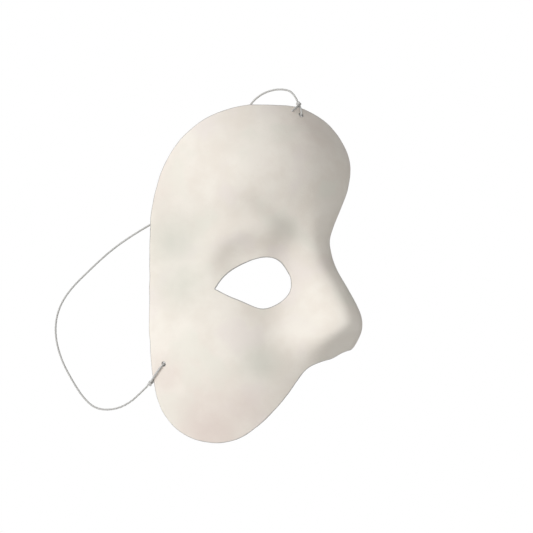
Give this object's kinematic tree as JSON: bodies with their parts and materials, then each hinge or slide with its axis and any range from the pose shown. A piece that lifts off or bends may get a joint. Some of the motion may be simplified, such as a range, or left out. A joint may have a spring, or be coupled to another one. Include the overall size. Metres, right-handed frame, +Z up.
{
  "type": "half-face masquerade mask",
  "caption": "Plain white half-face masquerade mask with one teardrop eye opening, a full nose and a thin elastic cord tied through a hole at each end.",
  "frame": {"origin": "on the inner side of the bridge of the nose, where the mask rests on the wearer's face", "axes": "the wearer faces -Y, the wearer's right is -X, +Z is up"},
  "size_m": [0.1227, 0.1477, 0.2014],
  "materials": {
    "pressed_fibre": "matte warm off-white pressed fibre, faintly mottled, no gloss",
    "elastic_cord": "light grey round braided elastic, matte"
  },
  "bodies": {
    "mask": {"mask_shell": "pressed_fibre", "lower_tie_loop": "elastic_cord", "upper_tie_loop": "elastic_cord", "lower_knot": "elastic_cord", "upper_knot": "elastic_cord", "lower_tail": "elastic_cord", "upper_tail": "elastic_cord"},
    "strap": {"elastic_strap": "elastic_cord"}
  },
  "joints": [
    {"name": "strap_swing", "type": "hinge", "parent": "mask", "child": "strap", "pos_m": [-0.07115, 0.06804, -0.07313], "axis": [-0.3662, 0.2939, -0.8829], "range_deg": [-10, 75]}
  ]
}
